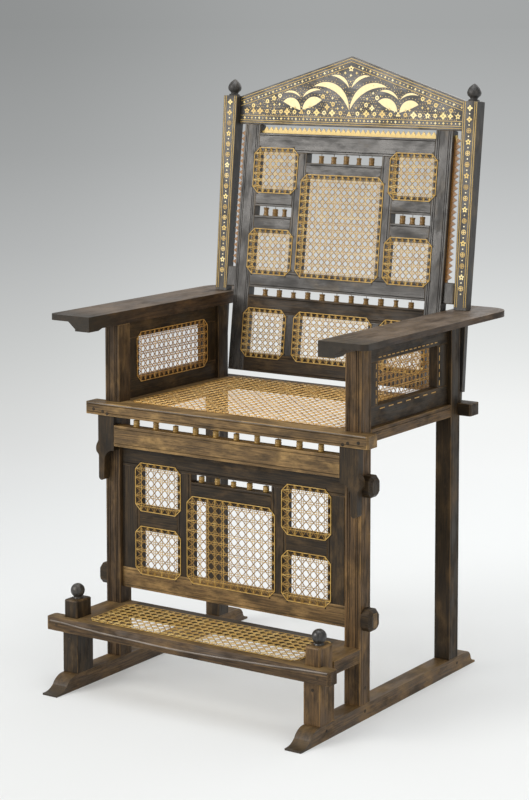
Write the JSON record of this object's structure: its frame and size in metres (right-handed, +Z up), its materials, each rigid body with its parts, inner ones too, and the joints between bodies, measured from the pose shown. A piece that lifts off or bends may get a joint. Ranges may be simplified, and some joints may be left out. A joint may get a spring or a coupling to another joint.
{
  "type": "lamu chair",
  "caption": "High-backed throne-like armchair with caned panels, wide arms, a gabled inlaid crest, rows of small spindles and an integral caned footrest on sled runners.",
  "frame": {"origin": "on the floor, midway between the legs and midway between the runners' front tips and the arms' rear ends", "axes": "+Z up, +X to the right of someone who faces the chair, -Y towards the chair's front"},
  "size_m": [0.732, 0.682, 1.238],
  "materials": {
    "dark_wood": "satin",
    "worn_wood": "satin",
    "grey_wood": "satin",
    "cane": "matte",
    "bone": "satin"
  },
  "bodies": {
    "chair": {"runner_left": "worn_wood", "front_leg_left": "worn_wood", "rear_leg_left": "worn_wood", "footrest_post_left": "worn_wood", "footrest_side_rail_left": "worn_wood", "seat_side_rail_left": "worn_wood", "apron_bracket_left": "dark_wood", "arm_left": "grey_wood", "arm_panel_rails_left": "dark_wood", "arm_panel_stiles_left": "dark_wood", "arm_cane_left": "cane", "runner_right": "worn_wood", "front_leg_right": "worn_wood", "rear_leg_right": "worn_wood", "footrest_post_right": "worn_wood", "footrest_side_rail_right": "worn_wood", "seat_side_rail_right": "worn_wood", "apron_bracket_right": "dark_wood", "arm_right": "grey_wood", "arm_panel_rails_right": "dark_wood", "arm_panel_stiles_right": "dark_wood", "arm_cane_right": "cane", "footrest_front_rail": "worn_wood", "footrest_rear_rail": "worn_wood", "footrest_cane": "cane", "seat_front_rail": "worn_wood", "seat_rear_rail": "worn_wood", "seat_cane": "cane", "apron_board": "dark_wood", "apron_spindles": "bone", "calf_top_rail": "dark_wood", "calf_bottom_rail": "worn_wood", "calf_stiles": "dark_wood", "calf_muntins": "dark_wood", "calf_cross_bars": "dark_wood", "calf_gallery_bar": "dark_wood", "calf_spindles": "bone", "calf_corner_cane": "cane", "calf_centre_cane": "cane", "tenon_end_blocks": "worn_wood"},
    "back": {"back_post_left": "dark_wood", "back_stile_left": "dark_wood", "back_post_right": "dark_wood", "back_stile_right": "dark_wood", "back_finials": "dark_wood", "back_pediment": "dark_wood", "back_bottom_rail": "dark_wood", "back_lower_rail": "dark_wood", "back_middle_rail": "dark_wood", "back_top_rail": "dark_wood", "back_muntins": "dark_wood", "back_short_bars": "dark_wood", "back_spindles": "bone", "back_upper_cane": "cane", "back_lower_cane": "cane", "back_saw_strips": "bone", "back_lugs": "dark_wood"}
  },
  "joints": [
    {"name": "back_lift", "type": "slide", "parent": "chair", "child": "back", "axis": [0, 0.0889, 0.996], "range_m": [0, 0.21]}
  ]
}
